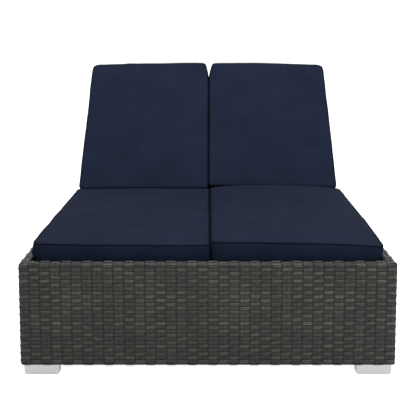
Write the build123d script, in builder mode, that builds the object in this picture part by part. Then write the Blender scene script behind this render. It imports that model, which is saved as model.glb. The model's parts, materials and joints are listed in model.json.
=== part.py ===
from build123d import *
import math
import os

os.makedirs("parts", exist_ok=True)

# A double chaise lounger: one woven base box with two seat cushions and two reclining backs.
# +Y runs from the foot end to the head end, +X is on the right of someone who looks along +Y,
# +Z is up, and the origin is at floor level under the middle of the base.

# Base box
base_width = 1380.0
rim_height = 425.0
foot_height = 38.0
skin = 6.0
rail_width = 30.0
rail_wall = 1.8
deck_drop = 30.0
bar_size = 25.0
bar_wall = 1.5
beam_depth = 40.0
cross_bar_count = 4

# Cushions
seat_cushion_length = 1032.0
back_cushion_length = 842.0
cushion_thickness = 94.0
cushion_crown = 9.0
end_crown = 4.0
side_bulge = 5.0
length_bulge = 5.0
plan_corner_radius = 26.0
end_edge_radius = 17.0
top_edge_radius = 14.0
bottom_edge_radius = 9.0
cushion_slit = 2.0
front_gap = 12.0
side_gap = 5.0
rear_gap = 12.0
crease_gap = 43.0

# Backs
back_angle = 46.0
back_tube = 22.0
back_tube_wall = 1.5
back_skin = 5.0
back_side_clearance = 3.0
back_centre_clearance = 3.0
head_overhang = 22.0
mid_rail_gap = 70.0
weave_setback = 3.0

# Hinges
pin_radius = 5.0
pin_grip = 30.0
pin_head = 2.5
pin_head_radius = 8.0
bush_length = 26.0
running_clearance = 0.05
ear_thickness = 4.0
ear_side_clearance = 1.0
ear_standoff = 4.0

# Props and racks
prop_rest_gap = 64.0
prop_extra_length = 40.0
prop_bar_radius = 9.0
prop_bar_wall = 1.5
prop_eye_radius = 12.0
prop_bar_end_clearance = 3.0
prop_arm_thickness = 6.0
prop_pin_radius = 4.0
prop_pin_head = 4.0
prop_pin_head_radius = 7.5
prop_side_clearance = 1.0
foot_bar_drop = 24.0
crest_clearance = 0.4
rack_thickness = 14.0
rack_depth = 32.0
rack_overrun = 26.0
rack_post_inset = 85.0
notch_depth = 5.0
notch_count = 5
rest_bar_clearance = 0.3

# Feet and fasteners
foot_width = 129.0
foot_depth = 36.0
foot_inset = 11.0
foot_front_inset = 2.0
foot_edge_radius = 3.5
glide_thickness = 2.5
glide_margin = 3.0
foot_screw_spacing = 80.0
foot_screw_radius = 3.0
foot_screw_head_radius = 6.0
foot_screw_head = 4.0
foot_screw_bite = 4.0
screw_seat_height = 12.0
counterbore_clearance = 0.5
gusset_leg = 70.0
gusset_thickness = 4.0
gusset_bolt_inset = 25.0
bolt_radius = 3.0
bolt_head_radius = 5.5
bolt_head = 3.5
bolt_bite = 5.0
rack_screw_radius = 2.5
rack_screw_head_radius = 4.5
rack_screw_head = 2.5
rack_screw_bite = 5.0
hole_clearance = 0.1
front_post_inset = 540.0

# Places that follow from the sizes above
half_width = base_width / 2
rim_width = rail_width + 2 * skin
base_length = (
    2 * rim_width + front_gap + seat_cushion_length + 2 * crease_gap + back_cushion_length + rear_gap
)
half_length = base_length / 2
rail_outer_x = half_width - skin
rail_inner_x = rail_outer_x - rail_width
rail_outer_y = half_length - skin
rail_inner_y = rail_outer_y - rail_width
post_x = (rail_outer_x + rail_inner_x) / 2
post_y = (rail_outer_y + rail_inner_y) / 2
lip_x = half_width - rim_width
lip_y = half_length - rim_width
deck_z = rim_height - deck_drop
bar_top_z = deck_z - skin
bar_bottom_z = bar_top_z - bar_size
rail_top_z = rim_height - skin
bottom_rail_z = foot_height + skin
hinge_y = rim_width + front_gap + seat_cushion_length + crease_gap - half_length
hinge_z = deck_z - skin - back_tube / 2
tube_half = back_tube / 2
back_outer_x = lip_x - back_side_clearance
cushion_width = lip_x - side_gap - cushion_slit / 2
cushion_x = cushion_slit / 2 + cushion_width / 2
back_reach = crease_gap + back_cushion_length - head_overhang
hinge_bar_rear_y = hinge_y - tube_half - ear_standoff

lean = math.radians(back_angle)
back_plane = Plane(
    origin=(0, hinge_y, hinge_z),
    x_dir=(1, 0, 0),
    z_dir=(0, -math.sin(lean), math.cos(lean)),
)

# The prop is an open triangle: its pivot rides on the back and its foot runs along the racks.
# Its pivot is as far up the back as lets the foot stop short of the rear rail when the back is down.
flat_run = rail_inner_y - prop_rest_gap - hinge_y
flat_run_squares = flat_run**2 - prop_extra_length**2 + foot_bar_drop**2
prop_pivot_reach = flat_run_squares / (2 * (flat_run + prop_extra_length))
mid_rail_reach = prop_pivot_reach - mid_rail_gap
prop_length = prop_pivot_reach + prop_extra_length
pivot_y = hinge_y + prop_pivot_reach * math.cos(lean)
pivot_z = hinge_z + prop_pivot_reach * math.sin(lean)
foot_z = hinge_z - foot_bar_drop
prop_slope = math.asin((pivot_z - foot_z) / prop_length)
foot_y = pivot_y + prop_length * math.cos(prop_slope)
flat_slope = math.asin(foot_bar_drop / prop_length)
flat_foot_y = hinge_y + prop_pivot_reach + prop_length * math.cos(flat_slope)
crest_z = foot_z - prop_bar_radius - crest_clearance
rack_start_y = foot_y - prop_bar_radius - rack_overrun
rack_end_y = flat_foot_y + prop_bar_radius + rack_overrun
rack_screw_z = crest_z - rack_depth / 2
rack_post_ys = (rack_start_y + rail_width / 2, rack_end_y - rack_post_inset)
rest_bar_y = hinge_y + mid_rail_reach
front_post_y = front_post_inset - half_length

sides = (("left", -1), ("right", 1))
ends = (("front", -1), ("rear", 1))


def finish(builder, name):
    """Name a finished piece and write its file."""
    builder.part.label = name
    export_step(builder.part, f"parts/{name}.step")


def block(x_range, y_range, z_range):
    """Add a block between the given limits to the part being made."""
    with BuildSketch(Plane.XY.offset(z_range[0])) as footprint:
        with Locations(((x_range[0] + x_range[1]) / 2, (y_range[0] + y_range[1]) / 2)):
            Rectangle(x_range[1] - x_range[0], y_range[1] - y_range[0])
    extrude(footprint.sketch, amount=z_range[1] - z_range[0])


def tube_plane(start, direction):
    """The plane that a straight tube starts on, with its own X level or lengthways."""
    x_dir = (0, 1, 0) if abs(direction[0]) > 0 else (1, 0, 0)
    return Plane(origin=start, x_dir=x_dir, z_dir=direction)


def box_tube(start, direction, length, section, wall):
    """Add an open-ended box tube that runs from a start point."""
    with BuildSketch(tube_plane(start, direction)) as profile:
        Rectangle(*section)
        Rectangle(section[0] - 2 * wall, section[1] - 2 * wall, mode=Mode.SUBTRACT)
    extrude(profile.sketch, amount=length)


def rod(start, direction, radius, length, mode=Mode.ADD):
    """Add a round rod that runs from a start point."""
    with BuildSketch(tube_plane(start, direction)) as profile:
        Circle(radius)
    extrude(profile.sketch, amount=length, mode=mode)


def drill(start, direction, radius, depth):
    """Cut a round hole that runs from a start point."""
    rod(start, direction, radius, depth, mode=Mode.SUBTRACT)


def foot_screw_places():
    """The middle of each foot's two screws."""
    places = []
    for hand in (-1, 1):
        for end in (-1, 1):
            middle = hand * (half_width - foot_inset - foot_width / 2)
            for step in (-1, 1):
                places.append((middle + step * foot_screw_spacing / 2, end * post_y))
    return places


def gusset_bolt_places():
    """The two bolts of each corner gusset, one in the end rail and one in the side rail."""
    places = []
    for hand in (-1, 1):
        for end in (-1, 1):
            places.append((hand * (rail_inner_x - gusset_bolt_inset), end * post_y))
            places.append((hand * post_x, end * (rail_inner_y - gusset_bolt_inset)))
    return places


def rail_holes(places, x_range, y_range):
    """The places that fall on a rail of the given limits."""
    return [
        (x, y) for x, y in places if x_range[0] < x < x_range[1] and y_range[0] < y < y_range[1]
    ]


# Rails: box tubes that carry the rim and the foot of the woven sides
rail_height = rail_top_z - bar_bottom_z
end_rail_x = (-rail_outer_x, rail_outer_x)
for end_name, end in ends:
    rail_y = end * post_y
    y_range = (rail_y - rail_width / 2, rail_y + rail_width / 2)
    with BuildPart() as top_rail:
        start = (-rail_outer_x, rail_y, rail_top_z - rail_height / 2)
        box_tube(start, (1, 0, 0), 2 * rail_outer_x, (rail_width, rail_height), rail_wall)
    finish(top_rail, f"{end_name}_top_rail")
    with BuildPart() as bottom_rail:
        start = (-rail_outer_x, rail_y, bottom_rail_z + rail_width / 2)
        box_tube(start, (1, 0, 0), 2 * rail_outer_x, (rail_width, rail_width), rail_wall)
        for x, y in rail_holes(foot_screw_places(), end_rail_x, y_range):
            drill((x, y, bottom_rail_z), (0, 0, 1), foot_screw_radius + hole_clearance, rail_wall)
        for x, y in rail_holes(gusset_bolt_places(), end_rail_x, y_range):
            top = bottom_rail_z + rail_width
            drill((x, y, top), (0, 0, -1), bolt_radius + hole_clearance, rail_wall)
    finish(bottom_rail, f"{end_name}_bottom_rail")

for side_name, hand in sides:
    rail_x = hand * post_x
    x_range = (rail_x - rail_width / 2, rail_x + rail_width / 2)
    y_range = (-rail_inner_y, rail_inner_y)
    with BuildPart() as top_rail:
        start = (rail_x, -rail_inner_y, rail_top_z - rail_height / 2)
        box_tube(start, (0, 1, 0), 2 * rail_inner_y, (rail_width, rail_height), rail_wall)
    finish(top_rail, f"{side_name}_top_rail")
    with BuildPart() as bottom_rail:
        start = (rail_x, -rail_inner_y, bottom_rail_z + rail_width / 2)
        box_tube(start, (0, 1, 0), 2 * rail_inner_y, (rail_width, rail_width), rail_wall)
        for x, y in rail_holes(gusset_bolt_places(), x_range, y_range):
            top = bottom_rail_z + rail_width
            drill((x, y, top), (0, 0, -1), bolt_radius + hole_clearance, rail_wall)
    finish(bottom_rail, f"{side_name}_bottom_rail")

# Posts: upright tubes between the bottom rails and the top rails
post_foot_z = bottom_rail_z + rail_width
post_length = bar_bottom_z - post_foot_z
post_section = (rail_width, rail_width)

with BuildPart() as corner_posts:
    for hand in (-1, 1):
        for end in (-1, 1):
            start = (hand * post_x, end * post_y, post_foot_z)
            box_tube(start, (0, 0, 1), post_length, post_section, rail_wall)
finish(corner_posts, "corner_posts")

with BuildPart() as side_posts:
    for hand in (-1, 1):
        for y in (front_post_y, rest_bar_y, *rack_post_ys):
            start = (hand * post_x, y, post_foot_z)
            box_tube(start, (0, 0, 1), post_length, post_section, rail_wall)
        for y in rack_post_ys:
            start = (hand * rail_inner_x, y, rack_screw_z)
            drill(start, (hand, 0, 0), rack_screw_radius + hole_clearance, rail_wall)
finish(side_posts, "side_posts")

with BuildPart() as centre_posts:
    for end in (-1, 1):
        start = (0, end * post_y, post_foot_z)
        box_tube(start, (0, 0, 1), post_length, post_section, rail_wall)
finish(centre_posts, "centre_posts")

# Centre beam: a deep tube down the middle that carries the cross bars and the inner racks
beam_half = rail_width / 2
with BuildPart() as centre_beam:
    start = (0, -rail_inner_y, bar_bottom_z - beam_depth / 2)
    box_tube(start, (0, 1, 0), 2 * rail_inner_y, (rail_width, beam_depth), rail_wall)
    for y in rack_post_ys:
        start = (-beam_half, y, rack_screw_z)
        drill(start, (1, 0, 0), rack_screw_radius + hole_clearance, rail_width)
finish(centre_beam, "centre_beam")

# Cross bars: tubes from side rail to side rail, over the beam and under the seat deck
bar_section = (bar_size, bar_size)
bar_mid_z = bar_top_z - bar_size / 2
hinge_bar_y = hinge_bar_rear_y - bar_size / 2
bar_step = (hinge_bar_y + rail_inner_y) / cross_bar_count
with BuildPart() as cross_bars:
    for step in range(cross_bar_count):
        y = -rail_inner_y + (step + 1 / 2) * bar_step
        box_tube((-rail_inner_x, y, bar_mid_z), (1, 0, 0), 2 * rail_inner_x, bar_section, bar_wall)
finish(cross_bars, "cross_bars")

with BuildPart() as hinge_bar:
    start = (-rail_inner_x, hinge_bar_y, bar_mid_z)
    box_tube(start, (1, 0, 0), 2 * rail_inner_x, bar_section, bar_wall)
finish(hinge_bar, "hinge_bar")

# Rest bars: a tube under each back that it lies on when it is down
rest_bar_top_z = hinge_z - tube_half - rest_bar_clearance
with BuildPart() as rest_bars:
    for hand in (-1, 1):
        start = (hand * beam_half, rest_bar_y, rest_bar_top_z - bar_size / 2)
        length = rail_inner_x - beam_half
        box_tube(start, (hand, 0, 0), length, bar_section, bar_wall)
finish(rest_bars, "rest_bars")

# Seat decks: woven panels on the cross bars, one under each seat cushion
deck_joint = cushion_slit / 2
for side_name, hand in sides:
    x_range = sorted((hand * deck_joint, hand * rail_inner_x))
    with BuildPart() as seat_deck:
        block(x_range, (-rail_inner_y, hinge_bar_rear_y), (bar_top_z, deck_z))
    finish(seat_deck, f"{side_name}_seat_deck")

# Woven sides: each skin covers its wall, turns over the top rail and under the bottom rail
for end_name, end in ends:
    outer = sorted((end * half_length, end * rail_outer_y))
    over = sorted((end * half_length, end * lip_y))
    lip = sorted((end * rail_inner_y, end * lip_y))
    under = sorted((end * half_length, end * rail_inner_y))
    full = (-half_width, half_width)
    with BuildPart() as end_weave:
        block(full, outer, (foot_height, rim_height))
        block(full, over, (rail_top_z, rim_height))
        block(full, under, (foot_height, bottom_rail_z))
        block((-rail_inner_x, rail_inner_x), lip, (deck_z, rim_height))
        for x, y in rail_holes(foot_screw_places(), full, under):
            drill((x, y, foot_height), (0, 0, 1), foot_screw_radius + hole_clearance, skin)
    finish(end_weave, f"{end_name}_weave")

for side_name, hand in sides:
    outer = sorted((hand * half_width, hand * rail_outer_x))
    over = sorted((hand * half_width, hand * lip_x))
    lip = sorted((hand * rail_inner_x, hand * lip_x))
    under = sorted((hand * half_width, hand * rail_inner_x))
    with BuildPart() as side_weave:
        block(outer, (-rail_outer_y, rail_outer_y), (bottom_rail_z, rail_top_z))
        block(over, (-lip_y, lip_y), (rail_top_z, rim_height))
        block(under, (-rail_inner_y, rail_inner_y), (foot_height, bottom_rail_z))
        block(lip, (-lip_y, lip_y), (deck_z, rim_height))
    finish(side_weave, f"{side_name}_weave")

# Corner gussets: flat plates on the bottom rails that keep the base square
gusset_top_z = post_foot_z + gusset_thickness
with BuildPart() as corner_gussets:
    for hand in (-1, 1):
        for end in (-1, 1):
            with BuildSketch(Plane.XY.offset(post_foot_z)):
                with BuildLine():
                    Polyline(
                        (hand * rail_inner_x, end * rail_inner_y),
                        (hand * rail_outer_x, end * rail_inner_y),
                        (hand * rail_outer_x, end * (rail_inner_y - gusset_leg)),
                        (hand * (rail_inner_x - gusset_leg), end * rail_outer_y),
                        (hand * rail_inner_x, end * rail_outer_y),
                        close=True,
                    )
                make_face()
            extrude(amount=gusset_thickness)
    for x, y in gusset_bolt_places():
        start = (x, y, post_foot_z)
        drill(start, (0, 0, 1), bolt_radius + hole_clearance, gusset_thickness)
finish(corner_gussets, "corner_gussets")

with BuildPart() as frame_bolts:
    for x, y in gusset_bolt_places():
        rod((x, y, gusset_top_z), (0, 0, 1), bolt_head_radius, bolt_head)
        shank = gusset_thickness + rail_wall + bolt_bite
        rod((x, y, gusset_top_z), (0, 0, -1), bolt_radius, shank)
finish(frame_bolts, "frame_bolts")

# Feet: flat metal blocks under the corners, each with a thin glide and two screws
screw_head_z = screw_seat_height - foot_screw_head
foot_z_range = (glide_thickness, foot_height)
for end_name, end in ends:
    for side_name, hand in sides:
        outer_x = half_width - foot_inset
        x_range = sorted((hand * outer_x, hand * (outer_x - foot_width)))
        outer_y = half_length - foot_front_inset
        y_range = sorted((end * outer_y, end * (outer_y - foot_depth)))
        with BuildPart() as foot:
            block(x_range, y_range, foot_z_range)
            low_edges = foot.edges().filter_by(Axis.Y).group_by(Axis.Z)[0]
            fillet(low_edges, foot_edge_radius)
            for x, y in rail_holes(foot_screw_places(), x_range, y_range):
                wide = foot_screw_head_radius + counterbore_clearance
                drill((x, y, glide_thickness), (0, 0, 1), wide, screw_seat_height - glide_thickness)
                narrow = foot_screw_radius + hole_clearance
                drill((x, y, foot_height), (0, 0, -1), narrow, foot_height)
        finish(foot, f"{end_name}_{side_name}_foot")

with BuildPart() as foot_glides:
    glide_length = foot_width - 2 * (foot_edge_radius + glide_margin)
    for hand in (-1, 1):
        for end in (-1, 1):
            middle_x = hand * (half_width - foot_inset - foot_width / 2)
            middle_y = end * (half_length - foot_front_inset - foot_depth / 2)
            with BuildSketch():
                with Locations((middle_x, middle_y)):
                    Rectangle(glide_length, foot_depth - 2 * glide_margin)
            extrude(amount=glide_thickness)
finish(foot_glides, "foot_glides")

with BuildPart() as foot_screws:
    for x, y in foot_screw_places():
        rod((x, y, screw_head_z), (0, 0, 1), foot_screw_head_radius, foot_screw_head)
        shank = bottom_rail_z + rail_wall + foot_screw_bite - screw_seat_height
        rod((x, y, screw_seat_height), (0, 0, 1), foot_screw_radius, shank)
finish(foot_screws, "foot_screws")


# Cushions: boxed pads with a crowned top, full sides and soft corners
corner_shares = (0, 0.12, 0.42, 1)
middle_shares = (0.1, 0.22, 0.36, 0.5, 0.64, 0.78, 0.9)


def corner_inset(distance, radius):
    """How far a round corner has drawn in at a distance from the end."""
    away = max(radius - distance, 0)
    return radius - math.sqrt(radius**2 - away**2)


def cushion_stations(length):
    """The places along a cushion where its cross section is given."""
    near = [share * plan_corner_radius for share in corner_shares]
    middle = [share * length for share in middle_shares]
    far = [length - place for place in reversed(near)]
    return near + middle + far


def cushion_section(plane, place, length):
    """One cross section: flat below, full at the sides and crowned on top."""
    from_end = min(place, length - place)
    swell = 4 * place * (length - place) / length**2
    half = cushion_width / 2 - side_bulge - length_bulge * (1 - swell)
    half -= corner_inset(from_end, plan_corner_radius)
    height = cushion_thickness - corner_inset(from_end, end_edge_radius)
    crown = end_crown + (cushion_crown - end_crown) * swell
    with BuildSketch(plane) as section:
        with BuildLine():
            Line((-half, 0), (half, 0))
            ThreePointArc((half, 0), (half + side_bulge, height / 2), (half, height))
            ThreePointArc((half, height), (0, height + crown), (-half, height))
            ThreePointArc((-half, height), (-half - side_bulge, height / 2), (-half, 0))
        make_face()
        fillet(section.vertices().group_by(Axis.Y)[-1], top_edge_radius)
        fillet(section.vertices().group_by(Axis.Y)[0], bottom_edge_radius)
    return section


def cushion(seat_plane, length):
    """A cushion that lies on a plane, whose Y runs along the cushion from its near end."""
    sections = []
    with BuildPart() as pad:
        for place in cushion_stations(length):
            origin = seat_plane.from_local_coords((0, place, 0))
            plane = Plane(origin=origin, x_dir=seat_plane.x_dir, z_dir=-seat_plane.y_dir)
            sections.append(cushion_section(plane, place, length).sketch)
        loft(sections, ruled=True)
    return pad


for side_name, hand in sides:
    seat_origin = (hand * cushion_x, rim_width + front_gap - half_length, deck_z)
    seat_cushion = cushion(Plane(origin=seat_origin), seat_cushion_length)
    finish(seat_cushion, f"{side_name}_seat_cushion")

# Hinge ears: plates on the hinge bar, one at each side and one shared in the middle
outer_ear_x = back_outer_x + ear_side_clearance
ear_places = (-outer_ear_x - ear_thickness, -ear_thickness / 2, outer_ear_x)
ear_radius = bar_top_z - hinge_z
with BuildPart() as hinge_ears:
    for x in ear_places:
        with BuildSketch(Plane.YZ.offset(x)):
            with Locations((hinge_y, hinge_z)):
                Circle(ear_radius)
            with Locations(((hinge_bar_rear_y + hinge_y) / 2, hinge_z)):
                Rectangle(hinge_y - hinge_bar_rear_y, 2 * ear_radius)
            with Locations((hinge_y, hinge_z)):
                Circle(pin_radius + hole_clearance, mode=Mode.SUBTRACT)
        extrude(amount=ear_thickness)
finish(hinge_ears, "hinge_ears")

# Hinge pins: a headed pin at each side and a plain one through the middle ear
tube_start_x = back_centre_clearance + back_skin
tube_end_x = back_outer_x - back_skin
pin_head_x = outer_ear_x + ear_thickness
with BuildPart() as hinge_pins:
    middle_reach = tube_start_x + pin_grip
    rod((-middle_reach, hinge_y, hinge_z), (1, 0, 0), pin_radius, 2 * middle_reach)
    for hand in (-1, 1):
        start = (hand * (tube_end_x - pin_grip), hinge_y, hinge_z)
        rod(start, (hand, 0, 0), pin_radius, pin_head_x - tube_end_x + pin_grip)
        rod((hand * pin_head_x, hinge_y, hinge_z), (hand, 0, 0), pin_head_radius, pin_head)
finish(hinge_pins, "hinge_pins")

# Racks: notched bars that the prop's foot bar rests on
notch_radius = prop_bar_radius + crest_clearance
notch_step = (flat_foot_y - foot_y) / (notch_count - 1)
rack_places = {
    "left_outer_rack": (-rail_inner_x, 1),
    "left_inner_rack": (-beam_half, -1),
    "right_inner_rack": (beam_half, 1),
    "right_outer_rack": (rail_inner_x, -1),
}
for rack_name, (wall_x, inward) in rack_places.items():
    with BuildPart() as rack:
        with BuildSketch(Plane.YZ.offset(wall_x)):
            with Locations(((rack_start_y + rack_end_y) / 2, crest_z - rack_depth / 2)):
                Rectangle(rack_end_y - rack_start_y, rack_depth)
            for step in range(notch_count):
                with Locations((foot_y + step * notch_step, crest_z + notch_radius - notch_depth)):
                    Circle(notch_radius, mode=Mode.SUBTRACT)
        extrude(amount=inward * rack_thickness)
        for y in rack_post_ys:
            start = (wall_x, y, rack_screw_z)
            drill(start, (inward, 0, 0), rack_screw_radius + hole_clearance, rack_thickness)
    finish(rack, rack_name)

with BuildPart() as rack_screws:
    for wall_x, inward in rack_places.values():
        for y in rack_post_ys:
            seat = (wall_x + inward * rack_thickness, y, rack_screw_z)
            rod(seat, (inward, 0, 0), rack_screw_head_radius, rack_screw_head)
            shank = rack_thickness + rail_wall + rack_screw_bite
            rod(seat, (-inward, 0, 0), rack_screw_radius, shank)
finish(rack_screws, "rack_screws")


def back_point(x, reach, rise):
    """A point on a back: across, up along the back from the hinge line, and out of it."""
    return back_plane.from_local_coords((x, reach, rise))


# Backs: a tube frame with a woven face, a cushion and a hinged prop behind it
up_back = (0, math.cos(lean), math.sin(lean))
outer_stile_x = tube_end_x - tube_half
inner_stile_x = tube_start_x + tube_half
rail_start_x = tube_start_x + back_tube
rail_span = tube_end_x - tube_start_x - 2 * back_tube
head_rail_reach = back_reach - back_skin - tube_half
tube_section = (back_tube, back_tube)
bush_flange = back_skin - ear_side_clearance / 2
weave_start = tube_half + weave_setback
arm_radius = prop_bar_radius
arm_direction = (0, math.cos(prop_slope), -math.sin(prop_slope))

for side_name, hand in sides:
    with BuildPart() as hinge_tube:
        start = (hand * tube_start_x, hinge_y, hinge_z)
        with BuildSketch(tube_plane(start, (hand, 0, 0))):
            Circle(tube_half)
            Circle(tube_half - back_tube_wall, mode=Mode.SUBTRACT)
        extrude(amount=tube_end_x - tube_start_x)
    finish(hinge_tube, f"{side_name}_hinge_tube")

    with BuildPart() as hinge_bushes:
        for x, outward in ((tube_start_x, -1), (tube_end_x, 1)):
            start = (hand * x, hinge_y, hinge_z)
            rod(start, (hand * outward, 0, 0), tube_half, bush_flange)
            rod(start, (-hand * outward, 0, 0), tube_half - back_tube_wall, bush_length)
            drill(
                (hand * (x + outward * bush_flange), hinge_y, hinge_z),
                (-hand * outward, 0, 0),
                pin_radius + running_clearance,
                bush_flange + bush_length,
            )
    finish(hinge_bushes, f"{side_name}_hinge_bushes")

    for place, x, inward in (("outer", outer_stile_x, -1), ("inner", inner_stile_x, 1)):
        with BuildPart() as stile:
            start = back_point(hand * x, 0, 0)
            box_tube(start, up_back, back_reach - back_skin, tube_section, back_tube_wall)
            drill(
                (hand * (x - back_tube), hinge_y, hinge_z),
                (hand, 0, 0),
                tube_half + running_clearance,
                2 * back_tube,
            )
            drill(
                back_point(hand * x, prop_pivot_reach, 0),
                (hand * inward, 0, 0),
                prop_pin_radius + hole_clearance,
                tube_half,
            )
        finish(stile, f"{side_name}_{place}_stile")

    with BuildPart() as back_rails:
        for reach in (mid_rail_reach, head_rail_reach):
            start = back_point(hand * rail_start_x, reach, 0)
            with BuildSketch(Plane(origin=start, x_dir=up_back, z_dir=(hand, 0, 0))):
                Rectangle(back_tube, back_tube)
                hollow = back_tube - 2 * back_tube_wall
                Rectangle(hollow, hollow, mode=Mode.SUBTRACT)
            extrude(amount=rail_span)
    finish(back_rails, f"{side_name}_back_rails")

    with BuildPart() as back_weave:
        middle_x = hand * (back_centre_clearance + back_outer_x) / 2
        with BuildSketch(back_plane.offset(-tube_half)):
            with Locations((middle_x, (weave_start + back_reach) / 2)):
                Rectangle(back_outer_x - back_centre_clearance, back_reach - weave_start)
        extrude(amount=back_tube + skin)
        inner_reach = back_reach - back_skin
        with BuildSketch(back_plane.offset(-tube_half)):
            with Locations((middle_x, inner_reach / 2)):
                Rectangle(tube_end_x - tube_start_x, inner_reach)
        extrude(amount=back_tube, mode=Mode.SUBTRACT)
    finish(back_weave, f"{side_name}_back_weave")

    cushion_origin = back_point(hand * cushion_x, crease_gap, tube_half + skin)
    cushion_plane = Plane(origin=cushion_origin, x_dir=(1, 0, 0), z_dir=back_plane.z_dir)
    back_cushion = cushion(cushion_plane, back_cushion_length)
    finish(back_cushion, f"{side_name}_back_cushion")

    # Prop: two flat arms and a foot bar, hung on pins inside the stiles
    arm_faces = {
        "outer": (outer_stile_x - tube_half, -1),
        "inner": (inner_stile_x + tube_half, 1),
    }
    for place, (face_x, inward) in arm_faces.items():
        with BuildPart() as arm:
            start = (hand * (face_x + inward * prop_side_clearance), pivot_y, pivot_z)
            outward = hand * inward
            with BuildSketch(Plane(origin=start, x_dir=arm_direction, z_dir=(outward, 0, 0))):
                with Locations((prop_length / 2, 0)):
                    SlotCenterToCenter(prop_length, 2 * arm_radius)
                Circle(prop_pin_radius + running_clearance, mode=Mode.SUBTRACT)
                with Locations((prop_length, 0)):
                    Circle(prop_eye_radius)
                    Circle(prop_bar_radius + hole_clearance, mode=Mode.SUBTRACT)
            extrude(amount=prop_arm_thickness)
        finish(arm, f"{side_name}_prop_{place}_arm")

    with BuildPart() as foot_bar:
        start = (hand * (beam_half + prop_bar_end_clearance), foot_y, foot_z)
        with BuildSketch(tube_plane(start, (hand, 0, 0))):
            Circle(prop_bar_radius)
            Circle(prop_bar_radius - prop_bar_wall, mode=Mode.SUBTRACT)
        extrude(amount=rail_inner_x - beam_half - 2 * prop_bar_end_clearance)
    finish(foot_bar, f"{side_name}_prop_foot_bar")

    with BuildPart() as prop_pins:
        for face_x, inward in arm_faces.values():
            inside = (hand * (face_x - inward * back_tube_wall), pivot_y, pivot_z)
            shank = back_tube_wall + prop_arm_thickness + 1.5 * prop_side_clearance
            rod(inside, (hand * inward, 0, 0), prop_pin_radius, shank)
            seat = (hand * (face_x + inward * (shank - back_tube_wall)), pivot_y, pivot_z)
            rod(seat, (hand * inward, 0, 0), prop_pin_head_radius, prop_pin_head)
    finish(prop_pins, f"{side_name}_prop_pins")
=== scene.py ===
import json
import math

import bpy
import numpy as np
from mathutils import Matrix, Vector


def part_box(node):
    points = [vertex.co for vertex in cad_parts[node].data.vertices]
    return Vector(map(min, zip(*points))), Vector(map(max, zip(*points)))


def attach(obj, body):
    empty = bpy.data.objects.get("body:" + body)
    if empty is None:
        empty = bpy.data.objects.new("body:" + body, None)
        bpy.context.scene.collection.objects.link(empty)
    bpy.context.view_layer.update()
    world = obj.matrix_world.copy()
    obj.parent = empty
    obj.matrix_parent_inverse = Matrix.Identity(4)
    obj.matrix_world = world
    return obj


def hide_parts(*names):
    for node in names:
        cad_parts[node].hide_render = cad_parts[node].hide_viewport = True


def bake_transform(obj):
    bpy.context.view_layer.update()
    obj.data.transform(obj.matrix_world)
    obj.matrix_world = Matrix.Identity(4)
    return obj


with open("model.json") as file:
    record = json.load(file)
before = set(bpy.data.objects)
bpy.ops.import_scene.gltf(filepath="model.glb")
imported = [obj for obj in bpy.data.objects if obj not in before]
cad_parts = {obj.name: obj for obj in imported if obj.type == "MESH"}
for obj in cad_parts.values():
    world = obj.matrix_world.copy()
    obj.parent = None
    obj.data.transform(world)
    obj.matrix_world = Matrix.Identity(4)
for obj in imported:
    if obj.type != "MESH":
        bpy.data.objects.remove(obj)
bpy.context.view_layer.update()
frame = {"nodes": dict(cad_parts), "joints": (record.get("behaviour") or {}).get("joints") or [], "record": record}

# Camera: a long lens in front of the foot end, a little above the backs and tipped down.
# The lounger stands low in the photograph, so the lens is shifted as well.
lens_mm = 67.3
camera_place = (0.0006, -3.759, 1.246)
camera_tip = math.radians(8.45)
lens_shift = -0.14

bpy.ops.object.camera_add(location=camera_place, rotation=(math.pi / 2 - camera_tip, 0, 0))
camera = bpy.context.object
camera.data.lens = lens_mm
camera.data.shift_y = lens_shift
bpy.context.scene.camera = camera

# Studio: white surroundings, one broad softbox overhead and a second one behind the camera.
# The floor is a wide sheet of pale acrylic, lit from below, so that it takes hardly any shadow.
white = (1, 1, 1, 1)
surround_strength = 1.0
lounger_middle = (0, 0, 0.4)
overhead_place, overhead_size, overhead_watts = (0.0, -0.6, 3.6), 3.4, 260.0
front_place, front_size, front_watts = (2.4, -4.2, 2.3), 1.8, 130.0
floor_size = 60.0
floor_tones = (0.50, 0.50, 0.50, 1), (0.52, 0.52, 0.52, 1)
floor_glow, floor_roughness = 0.93, 0.9

bpy.context.scene.view_settings.view_transform = "Standard"
world = bpy.data.worlds.new("studio")
world.use_nodes = True
background = world.node_tree.nodes["Background"].inputs
background["Color"].default_value = white
background["Strength"].default_value = surround_strength
bpy.context.scene.world = world


def softbox(place, size, watts):
    """A square lamp that faces the middle of the lounger."""
    aim = Vector(lounger_middle) - Vector(place)
    turn = aim.to_track_quat("-Z", "Y").to_euler()
    bpy.ops.object.light_add(type="AREA", location=place, rotation=turn)
    bpy.context.object.data.size = size
    bpy.context.object.data.energy = watts


softbox(overhead_place, overhead_size, overhead_watts)
softbox(front_place, front_size, front_watts)


class Reading:
    """A number or colour that varies over a surface. Sums on numbers add Math nodes."""

    def __init__(self, finish, socket):
        self.finish, self.socket = finish, socket

    def sum(self, operation, first, second):
        return self.finish.node("Math", {0: first, 1: second}, operation=operation)

    def __add__(self, other):
        return self.sum("ADD", self, other)

    def __sub__(self, other):
        return self.sum("SUBTRACT", self, other)

    def __rsub__(self, other):
        return self.sum("SUBTRACT", other, self)

    def __mul__(self, other):
        return self.sum("MULTIPLY", self, other)

    def __pow__(self, other):
        return self.sum("POWER", self, other)

    def ridged(self):
        """Rise from 0 to 1 and fall back over each whole step of the number."""
        return self.sum("PINGPONG", self, 0.5) * 2

    __radd__ = __add__
    __rmul__ = __mul__


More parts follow.
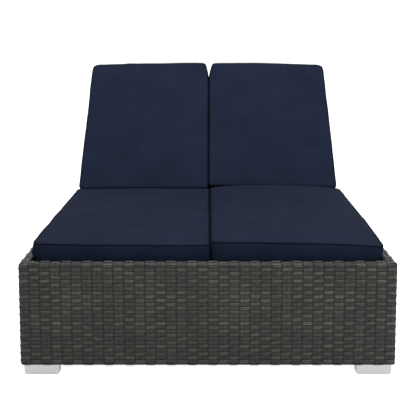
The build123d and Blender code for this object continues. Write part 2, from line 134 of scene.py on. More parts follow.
class Finish:
    """One surface finish: a material whose nodes all come from the node method."""

    def __init__(self, name, **constants):
        self.material = bpy.data.materials.new(name)
        self.material.use_nodes = True
        self.tree = self.material.node_tree
        self.surface = self.tree.nodes["Principled BSDF"]
        for socket, value in constants.items():
            self.feed(socket.replace("_", " "), value)

    def node(self, kind, sockets=(), output=0, **settings):
        """Add a node of any kind, set it up, fill its sockets and hand over one of its outputs."""
        made = self.tree.nodes.new("ShaderNode" + kind)
        for setting, value in settings.items():
            setattr(made, setting, value)
        for socket, value in dict(sockets).items():
            self.put(made.inputs[socket], value)
        return Reading(self, made.outputs[output])

    def put(self, socket, value):
        """Link a reading to a socket, or set the socket to a constant."""
        if isinstance(value, Reading):
            self.tree.links.new(value.socket, socket)
        else:
            socket.default_value = value

    def feed(self, socket, value):
        """Put a value into a socket of the surface shader."""
        self.put(self.surface.inputs[socket], value)

    def mix(self, share, first, second):
        """Run from the first colour to the second while the share runs from 0 to 1."""
        return self.node("Mix", {0: share, 6: first, 7: second}, output=2, data_type="RGBA")

    def ramp(self, reading, start, end, first=0.0, last=1.0):
        """Run from first to last while the reading runs from start to end."""
        sockets = {"Value": reading, "From Min": start, "From Max": end}
        return self.node("MapRange", {**sockets, "To Min": first, "To Max": last})

    def grain(self, scale, stretch=(1, 1, 1), detail=2.0):
        """Noise on the piece's own coordinates, stretched to suit."""
        place = self.node("TexCoord", output="Object")
        place = self.node("Mapping", {"Vector": place, "Scale": stretch})
        return self.node("TexNoise", {"Vector": place, "Scale": scale, "Detail": detail})

    def roughen(self, texture, least, spread):
        """Make the surface rougher where the texture is strong."""
        self.feed("Roughness", texture * spread + least)

    def bump(self, height, depth, strength=1.0):
        """Raise the surface by the depth where the height is 1."""
        sockets = {"Height": height, "Distance": depth, "Strength": strength}
        self.feed("Normal", self.node("Bump", sockets))


floor_finish = Finish("pale_acrylic", Emission_Color=white, Emission_Strength=floor_glow)
floor_finish.feed("Roughness", floor_roughness)
floor_speck = floor_finish.grain(scale=3.0)
floor_finish.feed("Base Color", floor_finish.mix(floor_speck, *floor_tones))
bpy.ops.mesh.primitive_plane_add(size=floor_size, location=(0, 0, 0))
floor = bpy.context.object
floor.data.materials.append(floor_finish.material)


# Woven walls: flat ribbed strands of plastic wicker, plaited over one and under one.
# Each wall is plaited flat, folded round the top and bottom rails, and mitred at the corners.
# A strand's cover is the share of its step that it fills, and its lift is how far it bends.
weft_cover, weft_thickness, weft_lift = 0.86, 0.0017, 0.0019
warp_cover, warp_thickness, warp_lift = 1.03, 0.0014, 0.0006
weft_bend_shares, warp_bend_shares = (0, 0.1, 0.3, 0.7, 0.9), (0, 0.5)
strand_flatness = 0.4
skin_depth, skin_inset = 0.003, 0.0018
weld_reach = skin_depth / 100
fold_radius, corner_radius = 0.007, 0.009
skirt_droop, skirt_flare = 0.004, 0.004
# The section of a strand, in shares of half its width and of its thickness.
upper_shares = (-1, -0.3), (-0.55, 0.5), (0, 0.15), (0.55, 0.5), (1, -0.3)
lower_shares = (0.5, -0.5), (-0.5, -0.5)
section_shares = (*upper_shares, *lower_shares)
most_end_sides = 13
smooth_angle = math.radians(60)


def only(piece):
    """Select one piece alone and make it the one that operators work on."""
    bpy.ops.object.select_all(action="DESELECT")
    piece.select_set(True)
    bpy.context.view_layer.objects.active = piece


def modify(piece, kind, **settings):
    """Add a modifier and apply it."""
    only(piece)
    modifier = piece.modifiers.new(kind.lower(), kind)
    for setting, value in settings.items():
        setattr(modifier, setting, value)
    bpy.ops.object.modifier_apply(modifier=modifier.name)


def join(pieces, name):
    """Join pieces into the first one and name it."""
    only(pieces[0])
    for piece in pieces:
        piece.select_set(True)
    bpy.ops.object.join()
    pieces[0].name = pieces[0].data.name = name
    return pieces[0]


def strand(width, thickness, lift, step, bend_shares, phase, lengthways):
    """A strand two crossings long: a ribbed section drawn out over one strand and under the next."""
    bpy.ops.mesh.primitive_circle_add(vertices=len(section_shares), radius=width)
    piece = bpy.context.object
    bends = [crossing + share for crossing in (0, 1) for share in bend_shares] + [2]
    waves = [math.sin(math.pi * (bend + phase)) for bend in bends]
    heights = [lift * math.copysign(abs(wave) ** strand_flatness, wave) for wave in waves]
    for vertex, (side, height) in zip(piece.data.vertices, section_shares):
        vertex.co = (0, side * width / 2, height * thickness + heights[0])
    bpy.ops.object.mode_set(mode="EDIT")
    bpy.ops.mesh.select_all(action="SELECT")
    for i in range(len(bends) - 1):
        move = ((bends[i + 1] - bends[i]) * step, 0, heights[i + 1] - heights[i])
        bpy.ops.mesh.extrude_region_move(TRANSFORM_OT_translate={"value": move})
    bpy.ops.mesh.select_all(action="SELECT")
    if lengthways:
        turn = {"value": -math.pi / 2, "orient_axis": "Z", "center_override": (0, 0, 0)}
        bpy.ops.transform.rotate(**turn)
    bpy.ops.object.mode_set(mode="OBJECT")
    kind = piece.data.attributes.new("warp", "FLOAT", "POINT")
    kind.data.foreach_set("value", [float(lengthways)] * len(piece.data.vertices))
    side = piece.data.attributes.new("side", "FLOAT", "POINT")
    across = [vertex.co.x if lengthways else vertex.co.y for vertex in piece.data.vertices]
    side.data.foreach_set("value", [2 * reach / width for reach in across])
    return piece


def plait(name, columns, rows, column_step, row_step):
    """A flat woven panel: x along the wefts, y along the warps, z out of the face."""
    weft_width, warp_width = weft_cover * row_step, warp_cover * column_step
    block = []
    for i in (0, 1):
        weft = strand(weft_width, weft_thickness, weft_lift, column_step, weft_bend_shares, i, False)
        warp = strand(warp_width, warp_thickness, warp_lift, row_step, warp_bend_shares, i + 1, True)
        weft.data.transform(Matrix.Translation((0, (i + 0.5) * row_step, 0)))
        warp.data.transform(Matrix.Translation(((i + 0.5) * column_step, 0, 0)))
        block += [weft, warp]
    panel = join(block, name)
    repeat = {"use_relative_offset": False, "use_constant_offset": True, "use_merge_vertices": True}
    repeat["merge_threshold"] = weld_reach
    across, along = (2 * column_step, 0, 0), (0, 2 * row_step, 0)
    modify(panel, "ARRAY", count=columns // 2, constant_offset_displace=across, **repeat)
    modify(panel, "ARRAY", count=rows // 2, constant_offset_displace=along, **repeat)
    return panel


def tell_strands_apart(panel, along_step, across_step, seed):
    """Give each strand its own tone and a slight wander, as hand plaiting does. The waves are in
    radians for each metre of strand."""
    tones, tone_swing, tone_wave = 400, 0.5, 20
    weft_wander, weft_wave = 0.0009, 70
    warp_wander, warp_wave = 0.0004, 23
    chance = np.random.default_rng(seed)
    tone, start = chance.random((2, tones)), chance.random((2, tones)) * 2 * math.pi
    places = np.array([vertex.co for vertex in panel.data.vertices])
    is_warp = np.array([value.value for value in panel.data.attributes["warp"].data]) > 0.5
    run = np.where(is_warp, places[:, 1], places[:, 0])
    line = np.where(is_warp, places[:, 0] / across_step, places[:, 1] / along_step).astype(int)
    kind = is_warp.astype(int)
    own_tone, own_start = tone[kind, line % tones], start[kind, line % tones]
    shade = own_tone + tone_swing * np.sin(run * tone_wave + own_start)
    sway = np.sin(run * np.where(is_warp, warp_wave, weft_wave) + own_start)
    places[:, 0] += np.where(is_warp, warp_wander * sway, 0)
    places[:, 1] += np.where(is_warp, 0, weft_wander * sway)
    panel.data.vertices.foreach_set("co", places.ravel())
    # The height mark also sets the painted shade of the wicker finish.
    for mark, values in (("tone", shade), ("height", places[:, 2] / skin_depth)):
        layer = panel.data.attributes.new(mark, "FLOAT", "POINT")
        layer.data.foreach_set("value", values)


def fold_guide(corners, radius, arc_cuts=5):
    """A flat curve through corner points, evenly stepped, with each inner corner rounded."""
    turns = [Vector(corners[0])]
    for before, corner, after in zip(corners, corners[1:], corners[2:]):
        corner = Vector(corner)
        back = (Vector(before) - corner).normalized() * radius
        on = (Vector(after) - corner).normalized() * radius
        for i in range(arc_cuts + 1):
            turn = i / arc_cuts * math.pi / 2
            turns.append(corner + back * (1 - math.sin(turn)) + on * (1 - math.cos(turn)))
    turns.append(Vector(corners[-1]))
    step, points = radius * math.pi / 2 / arc_cuts, []
    for a, b in zip(turns, turns[1:]):
        count = max(1, round((b - a).length / step))
        points += [a.lerp(b, i / count) for i in range(count)]
    points.append(turns[-1])
    curve = bpy.data.curves.new("fold_guide", "CURVE")
    curve.dimensions = "2D"
    line = curve.splines.new("POLY")
    line.points.add(len(points) - 1)
    for made, point in zip(line.points, points):
        made.co = (point.x, point.y, 0, 1)
    guide = bpy.data.objects.new("fold_guide", curve)
    bpy.context.collection.objects.link(guide)
    length = sum((b - a).length for a, b in zip(points, points[1:]))
    return guide, length


def fold(panel, guide):
    """Lay a panel along a fold guide: its x follows the guide and its y stands out of it."""
    modify(panel, "CURVE", object=guide, deform_axis="POS_X")
    bpy.data.objects.remove(guide)


def close_strands(panel):
    """Cap every open strand end and turn all faces outwards."""
    only(panel)
    bpy.ops.object.mode_set(mode="EDIT")
    bpy.ops.mesh.select_all(action="SELECT")
    bpy.ops.mesh.fill_holes(sides=most_end_sides)
    bpy.ops.mesh.select_all(action="SELECT")
    bpy.ops.mesh.normals_make_consistent(inside=False)
    bpy.ops.object.mode_set(mode="OBJECT")
    bpy.ops.object.shade_smooth_by_angle(angle=smooth_angle)


wicker = Finish("woven_wicker", Specular_IOR_Level=0.14)
wicker_dark, wicker_light = (0.0050, 0.0050, 0.0041, 1), (0.060, 0.061, 0.053, 1)
# Painted shade: the weave is mixed towards this near-black where shade falls among the strands.
wicker_painted_shade_colour = (0.0005, 0.0005, 0.0005, 1)
# Each pair holds a value for the wefts and one for the warps.
rib_counts, groove_depths, edge_depths = (1, 2), (0.6, 0.5), (1, 0.2)
height_powers, tone_weights, painted_shade_shares = (1, 2), (0.3, 0.2), (1, 0.75)
edge_power, warp_raise, full_height = 4, 0.3, 0.75
warp_tint, mottle_weight, patch_weight, tint_shift = 0.05, 1.2, 0.6, -0.5
# Where the painted shade near the floor and the painted shade on the rim top start and end, and how dark they go.
floor_dark_z, floor_light_z, floor_dark_share = 0.09, 0.23, 0.76
rim_light_z, rim_dark_z, rim_dark_share = 0.405, 0.42, 0.86
rib_weight, rib_relief = 0.7, 0.0014

strand_tone = wicker.node("Attribute", output="Fac", attribute_name="tone")
strand_height = wicker.node("Attribute", output="Fac", attribute_name="height")
strand_side = wicker.node("Attribute", output="Fac", attribute_name="side")
strand_warp = wicker.node("Attribute", output="Fac", attribute_name="warp")


def by_kind(pair):
    """The first of a pair on the wefts, and the second on the warps."""
    return strand_warp * (pair[1] - pair[0]) + pair[0]


# Painted shade: the grooves beside the ribs, the edges and the sunken stretches of a strand are darkened, as the
# shade among the strands would darken them.
ribs = (strand_side * by_kind(rib_counts)).ridged()
rib_share = 1 - (1 - ribs) * by_kind(groove_depths)
edge_share = 1 - (strand_side * strand_side) ** edge_power * by_kind(edge_depths)
raised_share = wicker.ramp(strand_height + strand_warp * warp_raise, 0, full_height)
strand_painted_shade = raised_share ** by_kind(height_powers) * edge_share * rib_share
# Painted shade also darkens the weave towards the floor, where the floor's shadow falls, and on top of the rim.
place = wicker.node("TexCoord", output="Object")
place_z = wicker.node("SeparateXYZ", {"Vector": place}, output="Z")
floor_painted_shade = wicker.ramp(place_z, floor_dark_z, floor_light_z, floor_dark_share, 1)
# Painted shade on the rim's top face, which faces the overhead softbox.
rim_painted_shade = wicker.ramp(place_z, rim_light_z, rim_dark_z, 1, rim_dark_share)
# All the painted shade together: the strands' own, the floor's and the rim's, with the warps, which lie deeper,
# painted a little darker.
all_painted_shade = strand_painted_shade * floor_painted_shade * rim_painted_shade * by_kind(painted_shade_shares)
mottle, patches = wicker.grain(scale=260.0, detail=3.0), wicker.grain(scale=55.0)
strand_tint = strand_tone * by_kind(tone_weights) + strand_warp * warp_tint
tint_share = strand_tint + mottle * mottle_weight + patches * patch_weight + tint_shift
wicker_tone = wicker.mix(tint_share, wicker_dark, wicker_light)
wicker.feed("Base Color", wicker.mix(all_painted_shade, wicker_painted_shade_colour, wicker_tone))
wicker.roughen(mottle, least=0.26, spread=0.2)
wicker.bump(ribs * rib_weight + mottle * (1 - rib_weight), depth=rib_relief)

wall_rows, rows_below_rim = 32, 28.5
rim_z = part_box("front_weave")[1][2]
floor_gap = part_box("front_weave")[0][2] - skirt_droop
half_width, half_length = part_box("right_weave")[1][0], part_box("rear_weave")[1][1]
rim_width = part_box("front_weave")[1][1] + half_length
lip_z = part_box("left_seat_deck")[1][2]
flange = rim_width - 2 * skin_depth
# A rounded corner is shorter than a sharp one by this share of its radius.
corner_saving, corners_below_rim = 2 - math.pi / 2, 1.5
# Turned so, a flat panel has its warps along x, as a fold guide runs, and its wefts along z.
on_guide = Matrix(((0, 1, 0, 0), (0, 0, 1, 0), (1, 0, 0, 0), (0, 0, 0, 1)))


def woven_wall(name, width, distance, columns, turn, seed):
    """One side of the base: plaited flat, folded over both rails, mitred, and stood in its place.
    A row of floats lies along the outer edge of the rim."""
    outer, inner = skin_inset - distance, rim_width - skin_inset - distance
    low, high = floor_gap + skin_depth, rim_z - skin_inset
    skirt = outer - skirt_flare
    corners = ((flange - distance, low), (skirt, low), (outer, high), (inner, high), (inner, lip_z))
    guide, _ = fold_guide(corners, fold_radius)
    to_rim = flange - skin_depth + high - low - corners_below_rim * fold_radius * corner_saving
    column_step, row_step = width / columns, to_rim / rows_below_rim
    panel = plait(name, columns, wall_rows, column_step, row_step)
    tell_strands_apart(panel, row_step, column_step, seed)
    panel.data.transform(on_guide @ Matrix.Translation((-width / 2, 0, 0)))
    fold(panel, guide)
    panel.data.transform(on_guide.inverted())
    only(panel)
    bpy.ops.object.mode_set(mode="EDIT")
    for hand in (-1, 1):
        bpy.ops.mesh.select_all(action="SELECT")
        corner = (hand * width / 2, -distance, 0)
        bpy.ops.mesh.bisect(plane_co=corner, plane_no=(hand, 1, 0), clear_outer=True, use_fill=True)
    bpy.ops.object.mode_set(mode="OBJECT")
    round_corners(panel, width, distance)
    close_strands(panel)
    panel.data.transform(Matrix.Rotation(turn, 4, "Z"))
    panel.data.materials.append(wicker.material)
    return panel


def round_corners(panel, width, distance):
    """Carry the strands round the upright corners in an arc."""
    for vertex in panel.data.vertices:
        past = abs(vertex.co.x) - (width / 2 - corner_radius)
        reach = corner_radius - (vertex.co.y + distance)
        if past > 0 and reach > 0:
            turn = min(past / reach, 1) * math.pi / 4
            side = width / 2 - corner_radius + reach * math.sin(turn)
            vertex.co.x = math.copysign(side, vertex.co.x)
            vertex.co.y = corner_radius - distance - reach * math.cos(turn)


# Each wall: its side, width, distance from the middle, columns of strands, turn and chance seed.
end_columns, side_columns = 36, 54
walls = (
    ("front", 2 * half_width, half_length, end_columns, 0, 36),
    ("rear", 2 * half_width, half_length, end_columns, math.pi, 67),
    ("left", 2 * half_length, half_width, side_columns, -math.pi / 2, 38),
    ("right", 2 * half_length, half_width, side_columns, math.pi / 2, 70),
)
for side, width, distance, columns, turn, seed in walls:
    wall = woven_wall(f"{side}_woven_wall", width, distance, columns, turn, seed)
    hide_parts(f"{side}_weave")
    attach(wall, "base")


# Woven backs: a panel plaited across the front of each tube frame and folded round its stiles,
# with a narrow strip that closes the head end. They swing with their backs.
back_angle = math.radians(46)
back_skin_depth, back_edge_gap = 0.0025, 0.002
back_rows, back_columns, head_rows = 58, 18, 2
back_seeds, strip_seeds = {"left": 4, "right": 5}, {"left": 5, "right": 6}
# Both backs turn on one line across the lounger.
hinge = Vector(frame["joints"][0]["pos_m"])
hinge.x = 0
back_frame = Matrix.Translation(hinge) @ Matrix.Rotation(back_angle, 4, "X")


def in_back(node):
    """A node's lowest and highest corners, measured across, up and out of the leaning back."""
    corners = np.array([vertex.co for vertex in frame["nodes"][node].data.vertices])
    local = np.array(back_frame.inverted()) @ np.c_[corners, np.ones(len(corners))].T
    return local[:3].min(axis=1), local[:3].max(axis=1)


def woven_back(side):
    """The woven face of one back, with the strip round its head end."""
    low, high = in_back(f"{side}_back_weave")
    left, right = low[0] + back_skin_depth, high[0] - back_skin_depth
    face, skirt = high[2] - skin_depth, low[2] + back_edge_gap
    guide, length = fold_guide(((left, skirt), (left, face), (right, face), (right, skirt)), fold_radius)
    reach = high[1] - low[1]
    column_step, row_step = length / back_columns, reach / back_rows
    panel = plait(f"{side}_woven_back", back_columns, back_rows, column_step, row_step)
    tell_strands_apart(panel, row_step, column_step, back_seeds[side])
    panel.data.transform(Matrix.Rotation(-math.pi / 2, 4, "X"))
    fold(panel, guide)
    panel.data.transform(Matrix.Rotation(math.pi / 2, 4, "X"))
    panel.data.transform(Matrix.Translation((0, low[1], 0)))
    strip_step = (right - left) / back_columns
    strip = plait("strip", back_columns, head_rows, strip_step, (high[2] - skirt) / head_rows)
    tell_strands_apart(strip, row_step, strip_step, strip_seeds[side])
    strip.data.transform(Matrix.Rotation(-math.pi / 2, 4, "X"))
    strip.data.transform(Matrix.Translation((left, high[1] - skin_depth, high[2])))
    panel = join([panel, strip], f"{side}_woven_back")
    close_strands(panel)
    panel.data.transform(back_frame)
    panel.data.materials.append(wicker.material)
    return panel


for side in ("left", "right"):
    panel = woven_back(side)
    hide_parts(f"{side}_back_weave")
    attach(panel, f"{side}_back")

# Seat decks: coarser mats of the same wicker, one under each seat cushion.
# They are plaited flat and lie on the cross bars.
deck_columns, deck_rows = 16, 54
deck_seeds = {"left": 6, "right": 7}

for side in ("left", "right"):
    low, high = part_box(f"{side}_seat_deck")
    across, along = (high[0] - low[0]) / deck_columns, (high[1] - low[1]) / deck_rows
    deck = plait(f"{side}_woven_deck", deck_columns, deck_rows, across, along)
    tell_strands_apart(deck, along, across, deck_seeds[side])
    deck.data.transform(Matrix.Translation((low[0], low[1], low[2] + skin_depth)))
    close_strands(deck)
    deck.data.materials.append(wicker.material)
    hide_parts(f"{side}_seat_deck")
    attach(deck, "base")

# Tube frame: aluminium box tube under and behind the weave, in the base and in the backs.
# Its dark powder coat is baked on and has a fine speck.
coat = Finish("powder_coat")
coat_tones = (0.022, 0.022, 0.021, 1), (0.034, 0.033, 0.031, 1)
coat_speck, coat_cloud = coat.grain(scale=900.0), coat.grain(scale=12.0)
coat.feed("Base Color", coat.mix(coat_cloud, *coat_tones))
coat.roughen(coat_speck, least=0.45, spread=0.2)
coat.bump(coat_speck, depth=0.0002, strength=0.6)

# Feet: flat blocks of satin aluminium under the corners, each held by two screws.
# They are brushed along their length.
foot_metal = Finish("satin_aluminium", Metallic=1.0)
foot_tones = (0.31, 0.31, 0.305, 1), (0.36, 0.36, 0.355, 1)
brushing = foot_metal.grain(scale=30.0, stretch=(1, 20, 26), detail=4.0)
foot_metal.feed("Base Color", foot_metal.mix(brushing, *foot_tones))
foot_metal.roughen(brushing, least=0.38, spread=0.2)
foot_metal.bump(brushing, depth=0.0002, strength=0.3)

# Hinge ears, pins, gussets, bolts and screws: steel hardware that holds the frame together.
# It is zinc-plated, which leaves it a little clouded.
zinc = Finish("zinc_plate", Metallic=1.0)
zinc_tones = (0.36, 0.36, 0.35, 1), (0.52, 0.52, 0.50, 1)
zinc_cloud = zinc.grain(scale=70.0, detail=4.0)
zinc.feed("Base Color", zinc.mix(zinc_cloud, *zinc_tones))
zinc.roughen(zinc_cloud, least=0.3, spread=0.25)

# Racks, bushes and glides: black nylon, each moulded in one piece.
# The mould leaves a faint grain on them.
nylon = Finish("moulded_nylon")
nylon_tones = (0.018, 0.018, 0.018, 1), (0.030, 0.030, 0.030, 1)
nylon_grain = nylon.grain(scale=500.0, detail=3.0)
nylon.feed("Base Color", nylon.mix(nylon_grain, *nylon_tones))
nylon.roughen(nylon_grain, least=0.5, spread=0.2)
nylon.bump(nylon_grain, depth=0.0002, strength=0.4)

# Every solid that shows takes the finish of its own slot.
finishes = {"frame_coat": coat, "foot_metal": foot_metal, "hardware": zinc, "nylon": nylon}
for subpart in frame["record"]["subparts"]:
    finish = finishes.get(subpart["material_slot"])
    if finish:
        slots = frame["nodes"][subpart["node"]].data.materials
        slots.clear()
        slots.append(finish.material)


# Cushions: boxed foam pads in navy canvas, with a welt cord sewn into each edge of the band.
# The covers are filled by simulation between their sewn edges, then the cords go on.
pad_cells_across, pad_cell, pad_band_cuts = 42, 0.0153, 5
seat_corners = {"left": (0.024, 0.024, 0.012, 0.024), "right": (0.024, 0.024, 0.012, 0.012)}
back_corners = (0.012, 0.012, 0.018, 0.034)
pad_pressure, pad_frames, pad_swell = 4.0, 20, 0.018
pad_side_ease, pad_crown_height = 0.002, 0.014
pad_crease_height, pad_crease_spacing = 0.006, 0.14
seat_crease_shift, back_crease_shift = 1, 3
pad_press, tuck_reach, heel_reach, heel_outer_share = 0.003, 0.10, 0.15, 0.6
# The bulge starts and is widest at these shares of a pad's thickness.
bulge_foot, bulge_peak = 0.33, 0.5
welt_radius, welt_shade = 0.0032, 0.45
pad_bend = 0.035

canvas = Finish("canvas", Specular_IOR_Level=0.03)
navy_dark, navy_light = (0.0033, 0.0050, 0.0117, 1), (0.0053, 0.0076, 0.0163, 1)
welt_painted_shade_colour = (0, 0, 0, 1)
thread_weight, fading_weight, cloth_shift = 0.5, 1.5, -0.5
threads, fading = canvas.grain(scale=1500.0), canvas.grain(scale=7.0, detail=3.0)
# Painted shade: the welt cords, which carry the shade mark, are mixed a share of the way to black, as the shadow
# at each cord would darken them.
welts = canvas.node("Attribute", output="Fac", attribute_name="shade")
cloth_share = threads * thread_weight + fading * fading_weight + cloth_shift
cloth_tone = canvas.mix(cloth_share, navy_dark, navy_light)
canvas.feed("Base Color", canvas.mix(welts * (1 - welt_shade), cloth_tone, welt_painted_shade_colour))
canvas.roughen(threads, least=0.82, spread=0.12)
canvas.bump(threads, depth=0.0004, strength=0.6)


def round_off(piece, half_width, half_length, corners, hand):
    """Round the square corners of the plan, by radii at the near inner, near outer, far inner and
    far outer corner."""
    for vertex in piece.data.vertices:
        place = vertex.co
        corner = corners[2 * int(place.y > 0) + int(hand * place.x > 0)]
        inner = Vector((half_width - corner, half_length - corner))
        past = Vector((abs(place.x) - inner.x, abs(place.y) - inner.y))
        if past.x > 0 and past.y > 0:
            past *= max(past) / past.length
            vertex.co.x = math.copysign(inner.x + past.x, place.x)
            vertex.co.y = math.copysign(inner.y + past.y, place.y)


def cover(name, width, length, thickness, corners, hand):
    """The sewn cover before it is filled: two panels and the band between them."""
    cells_along = round(length / pad_cell)
    bpy.ops.mesh.primitive_grid_add(x_subdivisions=pad_cells_across, y_subdivisions=cells_along, size=1)
    piece = bpy.context.object
    piece.name = piece.data.name = name
    piece.data.transform(Matrix.Diagonal((width, length, 1, 1)))
    round_off(piece, width / 2, length / 2, corners, hand)
    bpy.ops.object.mode_set(mode="EDIT")
    bpy.ops.mesh.select_mode(type="EDGE")
    bpy.ops.mesh.select_all(action="SELECT")
    bpy.ops.mesh.extrude_region_move(TRANSFORM_OT_translate={"value": (0, 0, thickness)})
    bpy.ops.mesh.select_all(action="DESELECT")
    bpy.ops.object.mode_set(mode="OBJECT")
    for edge in piece.data.edges:
        bottom, top = sorted(piece.data.vertices[i].co.z for i in edge.vertices)
        edge.select = top > bottom
    bpy.ops.object.mode_set(mode="EDIT")
    bpy.ops.mesh.subdivide(number_cuts=pad_band_cuts)
    bpy.ops.mesh.select_all(action="SELECT")
    bpy.ops.mesh.normals_make_consistent(inside=False)
    bpy.ops.object.mode_set(mode="OBJECT")
    return piece


def sewn_edges(piece, thickness):
    """The vertices along the top seam and along the bottom seam."""
    panels, band = set(), set()
    for face in piece.data.polygons:
        (panels if abs(face.normal.z) > 0.5 else band).update(face.vertices)
    seams = panels & band
    top = {i for i in seams if piece.data.vertices[i].co.z > thickness / 2}
    return top, seams - top


def fill(piece, seams):
    """Blow the cover up between its sewn edges, and keep its underside flat on what it lies on."""
    mesh = piece.data
    flat = np.array([vertex.co for vertex in mesh.vertices])
    sewn = piece.vertex_groups.new(name="sewn")
    sewn.add(list(seams), 1.0, "REPLACE")
    cloth = piece.modifiers.new("filling", "CLOTH")
    cloth.settings.vertex_group_mass = "sewn"
    cloth.settings.use_pressure = True
    cloth.settings.uniform_pressure_force = pad_pressure
    cloth.settings.effector_weights.gravity = 0
    for moment in range(1, pad_frames + 1):
        bpy.context.scene.frame_set(moment)
    only(piece)
    bpy.ops.object.modifier_apply(modifier=cloth.name)
    bpy.context.scene.frame_set(1)
    full = np.array([vertex.co for vertex in mesh.vertices])
    swell, tiny = full - flat, 1e-9
    reach = np.linalg.norm(swell, axis=1, keepdims=True) + tiny
    full = flat + swell / reach * pad_swell * np.tanh(reach / pad_swell)
    full[:, 2] = np.maximum(full[:, 2], 0)
    mesh.vertices.foreach_set("co", full.ravel())
    mesh.update()


def welt(piece, seam):
    """A cord along one sewn edge, as a closed tube of its own."""
    only(piece)
    bpy.ops.object.mode_set(mode="EDIT")
    bpy.ops.mesh.select_mode(type="EDGE")
    bpy.ops.mesh.select_all(action="DESELECT")
    bpy.ops.object.mode_set(mode="OBJECT")
    group, sure = piece.vertex_groups[seam].index, 0.99
    on_seam = set()
    for vertex in piece.data.vertices:
        if any(member.group == group and member.weight > sure for member in vertex.groups):
            on_seam.add(vertex.index)
    for edge in piece.data.edges:
        edge.select = on_seam.issuperset(edge.vertices)
    bpy.ops.object.mode_set(mode="EDIT")
    bpy.ops.mesh.duplicate()
    bpy.ops.mesh.separate(type="SELECTED")
    bpy.ops.object.mode_set(mode="OBJECT")
    cord = next(other for other in bpy.context.selected_objects if other != piece)
    only(cord)
    bpy.ops.object.convert(target="CURVE")
    cord.data.bevel_depth = welt_radius
    cord.data.bevel_resolution = 2
    bpy.ops.object.convert(target="MESH")
    return cord


def between(ends, along):
    """A value that runs evenly from one at the near end to one at the far end."""
    return ends[0] * (1 - along) + ends[1] * along


def settle(piece, width, length, thickness, hand, lie):
    """Let a filled pad lie as it has come to rest.
    The side over the rim widens, and the inner side is pressed to the other pad at the parting.
    The far inner corner is tucked in and dips, the far end slopes, the near end lifts off at its heel,
    the middle heaves by a near and a far height, and the near outer corner sinks and bulges over
    the rim. The powers set how closely each change keeps to its edge or corner."""
    for vertex in piece.data.vertices:
        place = vertex.co
        level, inward = min(place.z / thickness, 1), max(0, 0.5 - hand * place.x / width)
        outward, along = min(max(1 - inward, 0), 1), min(max(0.5 + place.y / length, 0), 1)
        press = pad_press * 4 * level * (1 - level) * inward ** 8
        drawn = lie["tuck"] * max(0, (along - 1) * length / tuck_reach + 1) ** 1.5 * inward ** 4
        lifted = lie["heel"] * max(0, 1 - along * length / heel_reach) ** 2
        place.x += hand * (lie["overhang"] * level * outward - press + drawn)
        place.x += between(lie["parting"], along) * inward ** 4
        place.y += lifted * (1 - heel_outer_share * outward ** 4)
        place.y -= lie["slope"] * along * outward ** 3
        heave = between(lie["heave"], along) * (1 - outward ** 6)
        place.z += level * (heave - lie["sink"] * outward ** 2 * (1 - along) ** 3)
        place.z -= level * lie["dip"] * along * inward ** 10
        rising = max((level - bulge_foot) / (bulge_peak - bulge_foot), 0)
        swell = min(rising, (1 - level) / (1 - bulge_peak), 1)
        place.x += hand * lie["bulge"] * swell * outward ** 4 * (1 - along) ** 6


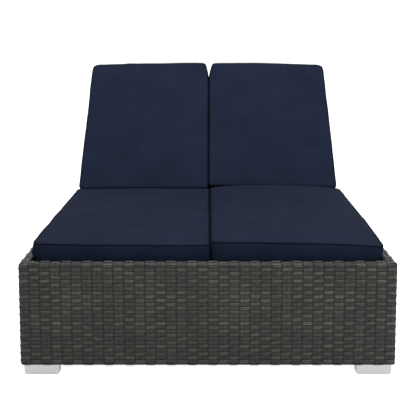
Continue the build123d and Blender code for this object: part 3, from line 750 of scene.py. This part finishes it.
def pad(name, low, high, frame_place, corners, hand, crease_shift, lie):
    """A finished pad: sewn, filled, creased a little and corded, put in its place."""
    width, length, thickness = high[0] - low[0], high[1] - low[1], high[2] - low[2] - pad_crown_height
    size = width - 2 * pad_side_ease, length - 2 * pad_side_ease, thickness
    piece = cover(name, *size, corners, hand)
    top, bottom = sewn_edges(piece, thickness)
    for seam, members in (("top_seam", top), ("bottom_seam", bottom)):
        piece.vertex_groups.new(name=seam).add(list(members), 1.0, "REPLACE")
    fill(piece, top | bottom)
    settle(piece, *size, hand, lie)
    modify(piece, "SUBSURF", levels=1)
    creases = bpy.data.textures.new(f"{name}_creases", "CLOUDS")
    creases.noise_scale = pad_crease_spacing
    piece.data.transform(Matrix.Translation((0, 0, crease_shift)))
    modify(piece, "DISPLACE", texture=creases, strength=pad_crease_height, mid_level=0.5)
    piece.data.transform(Matrix.Translation((0, 0, -crease_shift)))
    cords = [welt(piece, seam) for seam in ("top_seam", "bottom_seam")]
    # The cords get the shade mark, which paints shade on them in the canvas finish.
    for part in (piece, *cords):
        shade = part.data.attributes.new("shade", "FLOAT", "POINT")
        shade.data.foreach_set("value", [float(part != piece)] * len(part.data.vertices))
    piece = join([piece, *cords], name)
    only(piece)
    bpy.ops.object.shade_smooth()
    middle = Vector(((low[0] + high[0]) / 2, (low[1] + high[1]) / 2, low[2]))
    for vertex in piece.data.vertices:
        parting = between(lie["parting"], 0.5 + vertex.co.y / length) - middle.x
        vertex.co.x = parting + hand * max(hand * (vertex.co.x - parting), 0)
    piece.data.transform(frame_place @ Matrix.Translation(middle))
    piece.data.materials.append(canvas.material)
    return piece


# How each pad lies, in metres. Two values are for the near and the far end.
level_lie = dict.fromkeys(("overhang", "tuck", "dip", "slope", "heel", "sink", "bulge"), 0)
level_lie["heave"] = (0, 0)
seat_lie = {**level_lie, "parting": (0.009, 0.009)}
back_lie = {**level_lie, "overhang": 0.003, "parting": (0.002, 0.006), "tuck": 0.016, "slope": 0.014}
seat_lies = {
    "left": {**seat_lie, "overhang": 0.007, "sink": -0.002, "bulge": 0.016},
    "right": {**seat_lie, "overhang": 0.013, "sink": 0.012, "bulge": 0.006, "dip": 0.018},
}
seat_lies["left"]["heave"] = (-0.006, 0.001)
seat_lies["right"]["heave"] = (0.005, 0.020)
back_heels = {"left": 0.006, "right": 0.022}
upright = Matrix.Identity(4)

for side, hand in (("left", -1), ("right", 1)):
    low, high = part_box(f"{side}_seat_cushion")
    corners, lie, crease_shift = seat_corners[side], seat_lies[side], hand * seat_crease_shift
    seat = pad(f"{side}_seat_pad", low, high, upright, corners, hand, crease_shift, lie)
    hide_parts(f"{side}_seat_cushion")
    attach(seat, "base")
    low, high = in_back(f"{side}_back_cushion")
    lie, crease_shift = {**back_lie, "heel": back_heels[side]}, hand * back_crease_shift
    back = pad(f"{side}_back_pad", low, high, back_frame, back_corners, hand, crease_shift, lie)
    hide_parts(f"{side}_back_cushion")
    heel = low[1] + lie["heel"]
    bend = [back_frame @ Vector((0, reach, 0)) for reach in (heel, heel + pad_bend)]
    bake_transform(back)
